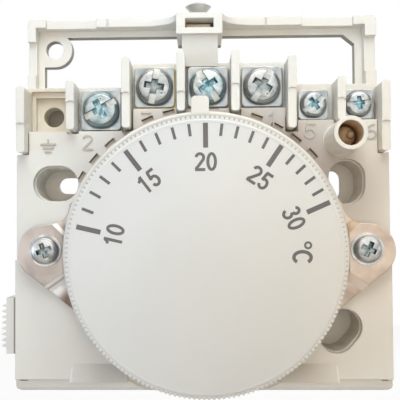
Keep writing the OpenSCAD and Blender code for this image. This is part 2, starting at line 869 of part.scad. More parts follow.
rear_base();
front_panel();
sensor_bracket();
bracket_screw(-1);  // bracket_screw_left
bracket_screw(1);  // bracket_screw_right
bracket_washer(-1);  // bracket_washer_left
bracket_washer(1);  // bracket_washer_right
stop_ring();
threaded_bush();
dial();
dial_spindle();
vapour_capsule();
push_pin();
snap_blade();
blade_anchor();
contact_front();
contact_rear();
anticipator_resistor();
neon_lamp();
neon_resistor();
slide_knob();
slide_bridge();
slide_contact_upper();
slide_contact_lower();
cover_screw();
cover_nut();
terminal_strip(1);  // terminal_strip_1
terminal_strip(2);  // terminal_strip_2
terminal_strip(3);  // terminal_strip_3
terminal_strip(4);  // terminal_strip_4
terminal_strip(5);  // terminal_strip_5
terminal_strip(6);  // terminal_strip_6
clamp_plate(1);  // clamp_plate_1
clamp_plate(2);  // clamp_plate_2
clamp_plate(3);  // clamp_plate_3
clamp_plate(4);  // clamp_plate_4
clamp_plate(5);  // clamp_plate_5
clamp_plate(6);  // clamp_plate_6
terminal_screw(1);  // terminal_screw_1
terminal_screw(2);  // terminal_screw_2
terminal_screw(3);  // terminal_screw_3
terminal_screw(4);  // terminal_screw_4
terminal_screw(5);  // terminal_screw_5
terminal_screw(6);  // terminal_screw_6
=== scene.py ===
import math

import bpy
import bmesh
from mathutils import Matrix, Vector


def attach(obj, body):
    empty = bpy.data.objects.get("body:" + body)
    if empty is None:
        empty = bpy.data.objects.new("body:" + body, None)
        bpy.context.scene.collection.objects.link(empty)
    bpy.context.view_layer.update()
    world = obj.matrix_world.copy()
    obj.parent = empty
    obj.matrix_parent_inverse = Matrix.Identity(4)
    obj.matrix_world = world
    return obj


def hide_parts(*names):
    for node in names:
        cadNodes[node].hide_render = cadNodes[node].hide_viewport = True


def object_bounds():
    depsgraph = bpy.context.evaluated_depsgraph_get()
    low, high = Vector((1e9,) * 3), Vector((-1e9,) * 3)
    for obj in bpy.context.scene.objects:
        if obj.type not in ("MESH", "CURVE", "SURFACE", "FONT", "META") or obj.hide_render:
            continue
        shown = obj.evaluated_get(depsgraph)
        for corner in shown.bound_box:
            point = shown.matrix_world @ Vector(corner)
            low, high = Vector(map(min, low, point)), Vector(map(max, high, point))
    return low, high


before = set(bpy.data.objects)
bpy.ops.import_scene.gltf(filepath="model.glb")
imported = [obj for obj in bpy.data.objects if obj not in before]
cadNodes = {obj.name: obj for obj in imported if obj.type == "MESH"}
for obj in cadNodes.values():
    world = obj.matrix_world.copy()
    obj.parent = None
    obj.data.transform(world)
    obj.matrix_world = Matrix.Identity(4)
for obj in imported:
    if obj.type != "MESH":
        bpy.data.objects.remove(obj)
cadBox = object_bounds()
mm = 0.001
print("stage: solids loaded", len(cadNodes))

# places on the front, in mm from the wall face's centre
dialAxis = (0.65, -11.95)
lampPlace = (30.25, 12.8)


# camera: where the photographer stood, in metres and degrees
photoCamera = {
    "lens": 75.78,
    "sensor": 36,
    "place": (-0.0002, -0.1999, -0.00625),
    "yaw": -1.658,
    "pitch": 1.868,
    "roll": -0.31,
    "shift": (0.058, 0.0),
    "nearest": 0.01,
}


def placeCamera():
    look = photoCamera
    yaw, pitch, roll = (math.radians(look[k]) for k in ("yaw", "pitch", "roll"))
    ahead = Vector((math.sin(yaw) * math.cos(pitch), math.cos(yaw) * math.cos(pitch),
                    math.sin(pitch)))
    level = Vector((math.cos(yaw), -math.sin(yaw), 0))
    above = level.cross(ahead)
    right = math.cos(roll) * level + math.sin(roll) * above
    up = math.cos(roll) * above - math.sin(roll) * level
    bpy.ops.object.camera_add(location=look["place"])
    camera = bpy.context.object
    camera.name = "photoCamera"
    camera.rotation_euler = Matrix((right, up, -ahead)).transposed().to_euler()
    camera.data.lens = look["lens"]
    camera.data.sensor_width = look["sensor"]
    camera.data.shift_x, camera.data.shift_y = look["shift"]
    camera.data.clip_start = look["nearest"]
    bpy.context.scene.camera = camera


# shader nodes

def feed(tree, step, inputs):
    # a plain value for each named input, or a link where it is another node's output
    for name, value in inputs.items():
        if isinstance(value, bpy.types.NodeSocket):
            tree.links.new(value, step.inputs[name])
        else:
            step.inputs[name].default_value = value


def addNode(tree, kind, inputs=None, **settings):
    step = tree.nodes.new("ShaderNode" + kind)
    for name, value in settings.items():
        setattr(step, name, value)
    feed(tree, step, inputs or {})
    return step


def maths(tree, kind, a, b=0):
    return addNode(tree, "Math", {0: a, 1: b}, operation=kind).outputs[0]


def noise(tree, where, scale, detail, distortion=0):
    inputs = {"Vector": where, "Scale": scale, "Detail": detail, "Distortion": distortion}
    return addNode(tree, "TexNoise", inputs).outputs["Fac"]


def opaque(colour):
    return tuple(colour) + (1,)


def twoTones(tree, value, tones, spread):
    # the value's middle range, between the two of spread, runs from the first tone to the second
    step = addNode(tree, "ValToRGB", {"Fac": value})
    for end, tone, position in zip(step.color_ramp.elements, tones, spread):
        end.color = opaque(tone)
        end.position = position
    return step.outputs["Color"]


def between(tree, value, ends):
    inputs = {"Value": value, "To Min": ends[0], "To Max": ends[1]}
    return addNode(tree, "MapRange", inputs).outputs["Result"]


def ramp(tree, value, zeroAt, oneAt):
    inputs = {"Value": value, "From Min": zeroAt, "From Max": oneAt}
    return addNode(tree, "MapRange", inputs).outputs["Result"]


def roundedBump(tree, height, edge, strength, depth):
    # relief on top of edges that look rounded; edge and depth in mm
    rounding = addNode(tree, "Bevel", {"Radius": edge * mm}, samples=6)
    return addNode(tree, "Bump", {
        "Height": height,
        "Normal": rounding.outputs["Normal"],
        "Strength": strength,
        "Distance": depth * mm,
    }).outputs["Normal"]


def newFinish(name):
    finish = bpy.data.materials.new(name)
    finish.use_nodes = True
    tree = finish.node_tree
    return finish, tree, tree.nodes["Principled BSDF"]


def ownPlace(tree):
    # place on the piece itself, so that the pattern moves with it
    return addNode(tree, "TexCoord").outputs["Object"]


# studio: large soft lamps, a pale floor and a white surround
white = (1, 1, 1)
studio = {
    "floorDrop": 0.16,
    "floorSize": 3.0,
    "floorGrey": (0.9, 0.9, 0.9),
    "floorRough": 0.9,
    # how much of the floor that the camera sees is plain white
    "floorWhite": 0.94,
    "ambient": 0.17,
    "ambientColour": (1, 0.985, 0.965),
    "lampsAim": (0, -0.015, 0),
    "lamps": [
        # name, place, width, strength in watts, colour, whether metal mirrors it
        ("windowLeft", (-0.75, -0.40, -0.05), 0.5, 1.9, (0.42, 0.65, 1.0), True),
        ("skylight", (0.06, -0.15, 0.42), 0.5, 1.0, (1.0, 0.93, 0.82), True),
        ("front", (0.0, -1.0, 0.0), 0.6, 3.15, (1.0, 0.91, 0.78), False),
        ("warmRight", (0.70, -0.42, 0.05), 0.5, 0.6, (1.0, 0.85, 0.66), False),
        ("backFill", (0.3, 1.0, 0.4), 0.8, 3.0, (1.0, 0.98, 0.94), False),
        ("topLamp", (0.0, -0.14, 0.15), 0.14, 0.23, (0.82, 0.94, 1.0), False),
    ],
}


def paleFloor():
    # nearly white to the camera, plain grey to everything that it bounces light at
    finish, tree, skin = newFinish("paleFloor")
    feed(tree, skin, {"Base Color": opaque(studio["floorGrey"]), "Roughness": studio["floorRough"]})
    glow = addNode(tree, "Emission", {"Color": opaque(white), "Strength": 1})
    seen = addNode(tree, "LightPath").outputs["Is Camera Ray"]
    most = maths(tree, "MULTIPLY", seen, studio["floorWhite"])
    mix = addNode(tree, "MixShader", {"Fac": most, 1: skin.outputs[0], 2: glow.outputs[0]})
    feed(tree, tree.nodes["Material Output"], {"Surface": mix.outputs[0]})
    return finish


def buildSurround():
    # the camera, mirrors and glass see white, and everything else gets the dim ambient light
    world = bpy.data.worlds.new("whiteSurround")
    bpy.context.scene.world = world
    world.use_nodes = True
    tree = world.node_tree
    tree.nodes.clear()
    path = addNode(tree, "LightPath")
    seen = path.outputs["Is Camera Ray"]
    for ray in ("Is Glossy Ray", "Is Transmission Ray"):
        seen = maths(tree, "MAXIMUM", seen, path.outputs[ray])
    dim = addNode(tree, "Background", {"Color": opaque(studio["ambientColour"]),
                                       "Strength": studio["ambient"]})
    bright = addNode(tree, "Background", {"Color": opaque(white), "Strength": 1})
    mix = addNode(tree, "MixShader", {"Fac": seen, 1: dim.outputs[0], 2: bright.outputs[0]})
    addNode(tree, "OutputWorld", {"Surface": mix.outputs[0]})


def buildStudio():
    buildSurround()
    drop = cadBox[0][2] - studio["floorDrop"]
    bpy.ops.mesh.primitive_plane_add(size=studio["floorSize"], location=(0, 0, drop))
    floor = bpy.context.object
    floor.name = "paleFloor"
    floor.data.materials.append(paleFloor())

    for name, place, width, watts, colour, mirrored in studio["lamps"]:
        bpy.ops.object.light_add(type="AREA", location=place)
        lamp = bpy.context.object
        lamp.name = name
        lamp.data.shape = "SQUARE"
        lamp.data.size = width
        lamp.data.energy = watts
        lamp.data.color = colour
        ahead = Vector(studio["lampsAim"]) - Vector(place)
        lamp.rotation_euler = ahead.to_track_quat("-Z", "Y").to_euler()
        lamp.visible_camera = False
        lamp.visible_glossy = mirrored
    bpy.context.scene.view_settings.view_transform = "Standard"


# places where light and shade are painted into a finish's colour, in mm on the front: round or
# square about a middle, soft over a width at the border, between two levels above the wall, with
# a fade below the upper one; the tint multiplies the colour, for painted shade or painted warm
# light, or covers it where it says so, for a painted highlight
# glint: a painted highlight on the bracket's bends; earShade: a painted shade on the ears' edges;
# the one after them: a painted highlight on the edges of the hook ramps
glint = {"square": True, "fade": 0.03, "tint": (0.97, 0.95, 0.92), "cover": True}
earShade = {"half": (4.7, 5.6), "square": True, "soft": 0.3, "levels": (15, 17.42), "fade": 0.02,
            "tint": (0.30, 0.26, 0.24)}
hookHighlight = {"half": (0.25, 3.4), "square": True, "soft": 0.1, "levels": (15.05, 20), "fade": 0.05,
            "cover": True}
shadedZones = {
    "mouldedIvory": {
        # painted shade on the sides of the wiring frame's holes
        "frameHoleShade": {"middle": (0, 26.5), "half": (38.6, 13.9), "square": True, "soft": 0.2,
                       "levels": (0.06, 2.9), "fade": 0.03, "tint": (0.42, 0.41, 0.38)},
        # painted shade on the walls of the vents round the dial
        "vents": {"middle": dialAxis, "half": (32.75, 32.75), "soft": 0.05,
                  "levels": (10, 14.88), "fade": 0.06, "tint": (0.80, 0.76, 0.70)},
        # painted shade on the floors of the vents' pockets
        "ventFloorShade": {"middle": dialAxis, "half": (32.75, 32.75), "soft": 0.05,
                       "levels": (14.2, 14.4), "fade": 0.03, "tint": (0.72, 0.69, 0.66)},
        # painted shade in the lamp's tube, with a painted amber reflection of the lamp's glass
        "tubeBoreShade": {"middle": lampPlace, "half": (2.75, 2.75), "soft": 0.1,
                     "levels": (10, 28.9), "fade": 1.2, "tint": (0.90, 0.74, 0.56)},
        # painted warm shade down in the earth bay
        "earthBayShade": {"middle": (-35.2, 20.5), "half": (4.8, 5.2), "square": True, "soft": 0.2,
                     "levels": (4.5, 12.2), "fade": 0.1, "tint": (0.93, 0.88, 0.79)},
        # painted warm light, growing towards the right
        "warmRight": {"middle": (52, -14), "half": (60, 60), "soft": 60,
                      "levels": (3.2, 38), "fade": 0.1, "tint": (1.0, 0.93, 0.85)},
        # painted shade on the panel round the dial's upper side
        "shadeAboveDial": {"middle": (6, 4), "half": (38, 22), "soft": 17,
                      "levels": (14.9, 15.05), "fade": 0.01, "tint": (0.60, 0.55, 0.55)},
        # painted highlights on the edges of the two hook ramps
        "leftHook": {**hookHighlight, "middle": (-28.62, -39.4), "tint": (0.97, 0.97, 0.97)},
        "rightHook": {**hookHighlight, "middle": (29.02, -39.4), "tint": (0.97, 0.94, 0.89)},
    },
    "ringIvory": {
        # painted shade on the ring close round the dial
        "shadeBelowDial": {"middle": dialAxis, "half": (30.3, 30.3), "soft": 0.9,
                      "levels": (10, 22), "fade": 0.1, "tint": (0.66, 0.64, 0.61)},
    },
    "knobIvory": {
        # painted shade in the gap between the knob and the body's side
        "gap": {"middle": (-41.6, -26), "half": (1.15, 30), "square": True, "soft": 0.1,
                "levels": (0, 14.9), "fade": 0.1, "tint": (0.42, 0.33, 0.31)},
    },
    "tanSheet": {
        # painted shade on the edges and side walls of the two ears
        "leftEarShade": {**earShade, "middle": (-38.5, -11.4)},
        "rightEarShade": {**earShade, "middle": (39.2, -11.4)},
        # painted warm light on the right ear
        "warmRight": {"middle": (37, -12), "half": (9, 14), "square": True, "soft": 2,
                      "levels": (14, 18), "fade": 0.05, "tint": (1.20, 1.08, 0.94)},
        # painted highlights on the bends of the bracket's left arms, and a spot of it on its disc
        "leftBendTop": {**glint, "middle": (-33, -19), "half": (7, 6), "soft": 0.5,
                        "levels": (17.08, 17.47)},
        "leftBendFoot": {**glint, "middle": (-33, -19), "half": (7, 6), "soft": 0.5,
                         "levels": (16.43, 16.82)},
        "leftDisc": {**glint, "middle": (-31.7, -19.9), "half": (1.9, 1.9), "square": False,
                     "soft": 1.0, "levels": (16.2, 16.43), "fade": 0.01},
        "leftBendUpper": {**glint, "middle": (-33, -5), "half": (7, 4), "soft": 0.5,
                          "levels": (17.0, 17.47)},
        # a painted warm highlight on the bends of the right lower arm
        "rightBend": {**glint, "middle": (34, -19), "half": (7, 6), "soft": 0.5,
                      "levels": (16.43, 17.47), "tint": (1.0, 0.80, 0.66)},
        # painted shade on the bends of the right upper arm
        "rightUpperBendShade": {"middle": (34, -5), "half": (7, 4), "square": True, "soft": 0.5,
                           "levels": (16.43, 17.47), "fade": 0.03, "tint": (0.92, 0.86, 0.78)},
        # painted shadow on the bracket beside the ring's lower left
        "shadowUnderRing": {"middle": (-28.9, -22.2), "half": (3.2, 3.2), "soft": 2.2,
                      "levels": (15, 17.6), "fade": 0.05, "tint": (0.36, 0.28, 0.23)},
    },
    "dialWhite": {
        # painted shade in the notches between the teeth and on the dial's side
        "notches": {"middle": dialAxis, "half": (26.95, 26.95), "soft": 0.35,
                    "levels": (20, 37.75), "fade": 0.1, "tint": (0.55, 0.54, 0.52)},
        # painted shade, deeper towards the dial's lower part
        "lower": {"middle": (9, -45), "half": (46, 46), "soft": 46,
                  "levels": (20, 38.2), "fade": 0.1, "tint": (0.83, 0.81, 0.79)},
        # painted warm light, growing towards the dial's right
        "warmRight": {"middle": (36, -16), "half": (50, 50), "soft": 50,
                      "levels": (20, 38.2), "fade": 0.1, "tint": (1.03, 0.95, 0.84)},
    },
}
# every zone also fades in over this many mm below its lower level
fadeIn = 0.02


def shaded(tree, where, colour, zone):
    parts = addNode(tree, "SeparateXYZ", {0: where}).outputs
    (middleX, middleY), (halfX, halfY) = zone["middle"], zone["half"]
    low, high = zone["levels"]

    across = maths(tree, "DIVIDE", maths(tree, "SUBTRACT", parts["X"], middleX * mm), halfX * mm)
    upward = maths(tree, "DIVIDE", maths(tree, "SUBTRACT", parts["Z"], middleY * mm), halfY * mm)
    if zone.get("square"):
        reach = maths(tree, "MAXIMUM", maths(tree, "ABSOLUTE", across),
                      maths(tree, "ABSOLUTE", upward))
    else:
        reach = maths(tree, "SQRT", maths(tree, "ADD", maths(tree, "MULTIPLY", across, across),
                                          maths(tree, "MULTIPLY", upward, upward)))
    level = maths(tree, "MULTIPLY", parts["Y"], -1)
    inside = ramp(tree, reach, 1, 1 - zone["soft"] / halfX)
    for limit in (ramp(tree, level, (low - fadeIn) * mm, low * mm),
                  ramp(tree, level, high * mm, (high - zone["fade"]) * mm)):
        inside = maths(tree, "MULTIPLY", inside, limit)

    mix = tree.nodes.new("ShaderNodeMix")
    mix.data_type = "RGBA"
    mix.blend_type = "MIX" if zone.get("cover") else "MULTIPLY"
    # a colour mix has its factor at input 0, its two colours at 6 and 7, and the result at 2
    feed(tree, mix, {0: inside, 6: colour, 7: opaque(zone["tint"])})
    return mix.outputs[2]


def allShaded(tree, where, colour, name):
    for zone in shadedZones.get(name, {}).values():
        colour = shaded(tree, where, colour, zone)
    return colour


# mouldings: colour and how far it wanders, roughness from and to, grain size and depth,
# rounding of the edges, light that goes into the skin
plasticLooks = {
    "mouldedIvory": {"colour": (0.80, 0.775, 0.725), "wander": 0.035, "rough": (0.40, 0.50),
                     "grain": 1400, "depth": 0.010, "edge": 0.22, "glow": 0.2},
    "knobIvory": {"colour": (0.80, 0.775, 0.725), "wander": 0.035, "rough": (0.40, 0.50),
                  "grain": 1400, "depth": 0.010, "edge": 0.15, "glow": 0.2},
    "dialWhite": {"colour": (0.74, 0.735, 0.72), "wander": 0.02, "rough": (0.44, 0.52),
                  "grain": 1800, "depth": 0.006, "edge": 0.04, "glow": 0.1},
    # painted shade: the grey of the ring seen through the dial's notches
    "notchShadeGrey": {"colour": (0.42, 0.40, 0.37), "wander": 0.05, "rough": (0.6, 0.7),
                  "grain": 1800, "depth": 0.006, "edge": 0.02, "glow": 0.0},
    "ringIvory": {"colour": (0.78, 0.745, 0.69), "wander": 0.03, "rough": (0.40, 0.50),
                  "grain": 1500, "depth": 0.008, "edge": 0.25, "glow": 0.2},
    # painted shade: the raised numbers are of the panel's ivory, made darker for the shade along
    # their strokes
    "shadedNumberIvory": {"colour": (0.52, 0.49, 0.45), "wander": 0.04, "rough": (0.45, 0.55),
                    "grain": 1500, "depth": 0.008, "edge": 0.08, "glow": 0.1},
    "dialInk": {"colour": (0.152, 0.137, 0.130), "wander": 0.12, "rough": (0.45, 0.60),
                "grain": 5000, "depth": 0.003, "edge": 0.01, "glow": 0.0},
    "pinPlastic": {"colour": (0.76, 0.74, 0.64), "wander": 0.03, "rough": (0.35, 0.45),
                   "grain": 1500, "depth": 0.006, "edge": 0.1, "glow": 0.2},
    "tanLacquer": {"colour": (0.48, 0.34, 0.19), "wander": 0.10, "rough": (0.22, 0.34),
                   "grain": 900, "depth": 0.010, "edge": 0.15, "glow": 0.0},
    "brownLacquer": {"colour": (0.30, 0.15, 0.07), "wander": 0.10, "rough": (0.22, 0.34),
                     "grain": 900, "depth": 0.010, "edge": 0.15, "glow": 0.0},
}
# what all mouldings share
plasticSkin = {
    "cloudScale": 45,
    "cloudDetail": 4,
    "spread": (0.3, 0.7),
    "grainDetail": 3,
    "relief": 0.25,
    "ior": 1.5,
    "glowRadius": (1.0, 0.78, 0.55),
    "glowDepth": 1.2,
}


def moulded(name):
    look, common = plasticLooks[name], plasticSkin
    finish, tree, skin = newFinish(name)
    where = ownPlace(tree)
    cloud = noise(tree, where, common["cloudScale"], common["cloudDetail"])
    grain = noise(tree, where, look["grain"], common["grainDetail"])
    tones = [[c * (1 + side * look["wander"]) for c in look["colour"]] for side in (-1, 1)]
    colour = twoTones(tree, cloud, tones, common["spread"])
    feed(tree, skin, {
        "Base Color": allShaded(tree, where, colour, name),
        "Roughness": between(tree, grain, look["rough"]),
        "Normal": roundedBump(tree, grain, look["edge"], common["relief"], look["depth"]),
        "IOR": common["ior"],
        "Subsurface Weight": look["glow"],
        "Subsurface Radius": common["glowRadius"],
        "Subsurface Scale": common["glowDepth"] * mm,
    })
    return finish


# metals: the two colours that it drifts between, roughness from and to, size of the drift,
# depth of the scratches, rounding of the edges
metalLooks = {
    # the screw heads' tops, rims and pits are one plating in three tones, lighter on top and darker
    # on the rounded rim and in the cross: painted light and shade
    "tealTop": {"from": (0.38, 0.50, 0.53), "to": (0.86, 0.92, 0.90), "rough": (0.20, 0.36),
                "drift": 330, "scratch": 0.010, "edge": 0.10},
    "tealRim": {"from": (0.26, 0.38, 0.42), "to": (0.46, 0.55, 0.56), "rough": (0.22, 0.38),
                "drift": 300, "scratch": 0.010, "edge": 0.10},
    "tealPit": {"from": (0.06, 0.20, 0.26), "to": (0.60, 0.82, 0.84), "rough": (0.22, 0.40),
                "drift": 900, "scratch": 0.014, "edge": 0.10},
    "clearTop": {"from": (0.44, 0.47, 0.475), "to": (0.90, 0.91, 0.88), "rough": (0.20, 0.36),
                 "drift": 300, "scratch": 0.010, "edge": 0.10},
    "clearRim": {"from": (0.34, 0.36, 0.36), "to": (0.54, 0.55, 0.53), "rough": (0.22, 0.38),
                 "drift": 300, "scratch": 0.010, "edge": 0.10},
    "clearPit": {"from": (0.08, 0.12, 0.13), "to": (0.50, 0.55, 0.54), "rough": (0.24, 0.42),
                 "drift": 900, "scratch": 0.014, "edge": 0.10},
    "smallTop": {"from": (0.44, 0.51, 0.54), "to": (0.90, 0.93, 0.93), "rough": (0.20, 0.34),
                 "drift": 420, "scratch": 0.008, "edge": 0.08},
    # painted highlight on the floor of the slots and of the stamped ring
    "slotFloor": {"from": (0.58, 0.61, 0.58), "to": (0.86, 0.87, 0.81), "rough": (0.30, 0.45),
                  "drift": 500, "scratch": 0.010, "edge": 0.08},
    # painted shade, near black, at the heads' foot, round their tops, on the slots' walls and in
    # the stamped dot
    "darkPaintedShade": {"from": (0.05, 0.07, 0.075), "to": (0.12, 0.145, 0.15), "rough": (0.35, 0.50),
                 "drift": 700, "scratch": 0.008, "edge": 0.05},
    "plateZinc": {"from": (0.50, 0.55, 0.57), "to": (0.80, 0.82, 0.80), "rough": (0.26, 0.42),
                  "drift": 300, "scratch": 0.012, "edge": 0.12},
    "brightNickel": {"from": (0.38, 0.38, 0.37), "to": (0.88, 0.87, 0.84), "rough": (0.14, 0.28),
                     "drift": 300, "scratch": 0.008, "edge": 0.10},
    "tanSheet": {"from": (0.48, 0.41, 0.36), "to": (0.76, 0.68, 0.62), "rough": (0.26, 0.40),
                 "drift": 120, "scratch": 0.010, "edge": 0.30},
    "dullStrip": {"from": (0.30, 0.29, 0.27), "to": (0.44, 0.43, 0.40), "rough": (0.34, 0.50),
                  "drift": 240, "scratch": 0.010, "edge": 0.10},
    "stampedBrass": {"from": (0.58, 0.39, 0.10), "to": (0.86, 0.68, 0.28), "rough": (0.20, 0.36),
                     "drift": 240, "scratch": 0.010, "edge": 0.10},
    "paleBrass": {"from": (0.62, 0.50, 0.36), "to": (0.84, 0.76, 0.58), "rough": (0.24, 0.40),
                  "drift": 240, "scratch": 0.010, "edge": 0.12},
    "copperStrip": {"from": (0.34, 0.25, 0.24), "to": (0.50, 0.35, 0.34), "rough": (0.28, 0.44),
                    "drift": 240, "scratch": 0.010, "edge": 0.10},
    "coilBronze": {"from": (0.48, 0.27, 0.13), "to": (0.78, 0.50, 0.29), "rough": (0.22, 0.36),
                   "drift": 240, "scratch": 0.008, "edge": 0.10},
    "rolledSteel": {"from": (0.42, 0.42, 0.41), "to": (0.66, 0.66, 0.64), "rough": (0.24, 0.40),
                    "drift": 160, "scratch": 0.010, "edge": 0.10},
}
# what all metals share
metalSkin = {
    "driftDetail": 5,
    "driftDistortion": 0.6,
    "spread": (0.34, 0.62),
    "scratchScale": 4200,
    "scratchDetail": 2,
    "scratchStretch": (1, 1, 0.12),
    "relief": 0.3,
}


def plated(name):
    look, common = metalLooks[name], metalSkin
    finish, tree, skin = newFinish(name)
    where = ownPlace(tree)
    drift = noise(tree, where, look["drift"], common["driftDetail"], common["driftDistortion"])
    stretch = addNode(tree, "Mapping", {"Vector": where, "Scale": common["scratchStretch"]})
    scratch = noise(tree, stretch.outputs[0], common["scratchScale"], common["scratchDetail"])
    colour = twoTones(tree, drift, (look["from"], look["to"]), common["spread"])
    feed(tree, skin, {
        "Base Color": allShaded(tree, where, colour, name),
        "Roughness": between(tree, drift, look["rough"]),
        "Normal": roundedBump(tree, scratch, look["edge"], common["relief"], look["scratch"]),
        "Metallic": 1,
    })
    return finish


# glass of the neon lamp, tinted amber to brown
lampGlass = {
    "smokeScale": 420,
    "smokeDetail": 3,
    "tones": ((0.52, 0.36, 0.21), (0.82, 0.66, 0.46)),
    "spread": (0.36, 0.64),
    "clear": 0.2,
    "rough": 0.12,
    "ior": 1.46,
}


def amberGlass():
    look = lampGlass
    finish, tree, skin = newFinish("amberGlass")
    smoke = noise(tree, ownPlace(tree), look["smokeScale"], look["smokeDetail"])
    feed(tree, skin, {
        "Base Color": twoTones(tree, smoke, look["tones"], look["spread"]),
        "Transmission Weight": look["clear"],
        "Roughness": look["rough"],
        "IOR": look["ior"],
    })
    return finish


# modelling steps that come back

def onPanel(x, y, z):
    return Vector((x * mm, -z * mm, y * mm))


def deselectAll():
    if bpy.context.object and bpy.context.object.mode != "OBJECT":
        bpy.ops.object.mode_set(mode="OBJECT")
    bpy.ops.object.select_all(action="DESELECT")


def pick(piece):
    deselectAll()
    piece.select_set(True)
    bpy.context.view_layer.objects.active = piece


def joined(pieces, name):
    deselectAll()
    for piece in pieces:
        piece.select_set(True)
    bpy.context.view_layer.objects.active = pieces[0]
    bpy.ops.object.join()
    whole = bpy.context.object
    whole.name = name
    return whole


def pickFaces(wanted):
    bpy.ops.mesh.select_mode(type="FACE")
    net = bmesh.from_edit_mesh(bpy.context.object.data)
    for face in net.faces:
        face.select_set(bool(wanted(face.calc_center_median(), face.normal)))
    net.select_flush_mode()
    bmesh.update_edit_mesh(bpy.context.object.data)


def inRing(inner, outer, low, high):
    # picks faces of a turned piece between two radii and two heights, in mm
    return lambda middle, normal: (inner * mm < middle.xy.length < outer * mm
                                   and low * mm < middle.z < high * mm)


def turned(name, profile, steps):
    # a lathe: profile is a list of (radius, height) in mm along the axis
    deselectAll()
    bpy.ops.mesh.primitive_plane_add(size=mm)
    piece = bpy.context.object
    piece.name = name
    bpy.ops.object.mode_set(mode="EDIT")
    bpy.ops.mesh.select_mode(type="VERT")
    bpy.ops.mesh.select_all(action="SELECT")
    bpy.ops.mesh.merge(type="CENTER")
    bpy.ops.transform.translate(value=(profile[0][0] * mm, 0, profile[0][1] * mm))
    for (r0, z0), (r1, z1) in zip(profile, profile[1:]):
        step = ((r1 - r0) * mm, 0, (z1 - z0) * mm)
        bpy.ops.mesh.extrude_region_move(TRANSFORM_OT_translate={"value": step})
    bpy.ops.mesh.select_all(action="SELECT")
    bpy.ops.mesh.spin(steps=steps, angle=2 * math.pi, center=(0, 0, 0), axis=(0, 0, 1))
    bpy.ops.mesh.select_all(action="SELECT")
    bpy.ops.mesh.remove_doubles(threshold=0.002 * mm)
    bpy.ops.mesh.normals_make_consistent(inside=False)
    bpy.ops.object.mode_set(mode="OBJECT")
    return piece


def block(name, x, y, z):
    # a box from its limits along each axis, in mm
    deselectAll()
    bpy.ops.mesh.primitive_cube_add(size=1, location=[sum(s) / 2 * mm for s in (x, y, z)],
                                    scale=[(s[1] - s[0]) * mm for s in (x, y, z)])
    piece = bpy.context.object
    piece.name = name
    settle(piece)
    return piece


def settle(piece):
    pick(piece)
    bpy.ops.object.transform_apply(location=True, rotation=True, scale=True)


def boolean(piece, other, operation):
    pick(piece)
    step = piece.modifiers.new("boolean", "BOOLEAN")
    step.operation = operation
    step.solver = "EXACT"
    step.material_mode = "TRANSFER" if operation == "DIFFERENCE" else "INDEX"
    step.object = other
    bpy.ops.object.modifier_apply(modifier="boolean")
    bpy.data.objects.remove(other)


def cutAway(piece, *cutters):
    for cutter in cutters:
        boolean(piece, cutter, "DIFFERENCE")


def softEdges(piece, width, segments=2, angle=35, smooth=32):
    pick(piece)
    soft = piece.modifiers.new("soft", "BEVEL")
    soft.width = width * mm
    soft.segments = segments
    soft.limit_method = "ANGLE"
    soft.angle_limit = math.radians(angle)
    soft.harden_normals = False
    bpy.ops.object.modifier_apply(modifier="soft")
    bpy.ops.object.shade_smooth_by_angle(angle=math.radians(smooth))


def stood(master, name, place, turn=0):
    # a copy that faces out of the wall at a place in mm, turned about its own axis
    piece = master.copy()
    piece.data = master.data.copy()
    piece.name = name
    bpy.context.collection.objects.link(piece)
    piece.matrix_world = (Matrix.Translation(onPanel(*place))
                          @ Matrix.Rotation(math.radians(90), 4, "X")
                          @ Matrix.Rotation(math.radians(turn), 4, "Z"))
    settle(piece)
    return piece


def wear(piece, finish):
    piece.data.materials.clear()
    piece.data.materials.append(finishes[finish])
    return piece


def paintFaces(piece, finish, wanted):
    # a second finish on the faces that the test picks
    pick(piece)
    bpy.ops.object.material_slot_add()
    piece.material_slots[piece.active_material_index].material = finishes[finish]
    bpy.ops.object.mode_set(mode="EDIT")
    pickFaces(wanted)
    bpy.ops.object.material_slot_assign()
    bpy.ops.object.mode_set(mode="OBJECT")


def dress(piece, body, slotName, *nodes):
    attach(piece, body)
    if nodes:
        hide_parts(*nodes)


placeCamera()
buildStudio()
print("stage: camera and studio")

finishes = {name: moulded(name) for name in plasticLooks}
finishes.update({name: plated(name) for name in metalLooks})
finishes["amberGlass"] = amberGlass()


# characters as strokes, one unit high: a path is open unless its first point comes back
glyphWide = 0.56
glyphGap = 0.06


def arcPath(cx, cy, rx, ry, start, end, count):
    angles = [math.radians(start + (end - start) * k / count) for k in range(count + 1)]
    return [(cx + rx * math.cos(a), cy + ry * math.sin(a)) for a in angles]


def glyphs(h):
    # h is half a stroke
    top = 1 - h
    return {
        "0": [arcPath(0.28, 0.5, 0.28 - h, 0.5 - h, 0, 360, 32)],
        "1": [[(0.33, 0), (0.33, 1)], [(0.10, 0.75), (0.22, 0.80), (0.30, 0.93)]],
        "2": [arcPath(0.28, 0.72, 0.28 - h, 0.28 - h, 175, -35, 14)
              + [(0.22, 0.30), (0.10, 0.16), (0.07, h)],
              [(0.02, h), (0.56, h)]],
        "3": [arcPath(0.27, 0.745, 0.235 - h, 0.255 - h, 165, -90, 14),
              arcPath(0.27, 0.28, 0.28 - h, 0.30 - h, 90, -170, 16)],
        "5": [[(0.12, top), (0.53, top)],
              [(0.12 + h * 0.6, top), (0.075 + h * 0.6, 0.47)],
              [(0.075 + h * 0.6, 0.47)] + arcPath(0.27, 0.33, 0.28 - h, 0.33 - h, 128, -160, 18)],
        "6": [arcPath(0.28, 0.32, 0.28 - h, 0.32 - h, 0, 360, 28),
              arcPath(0.46, 0.36, 0.46 - h, 0.60, 180, 118, 10) + [(0.36, top), (0.45, top)]],
    }


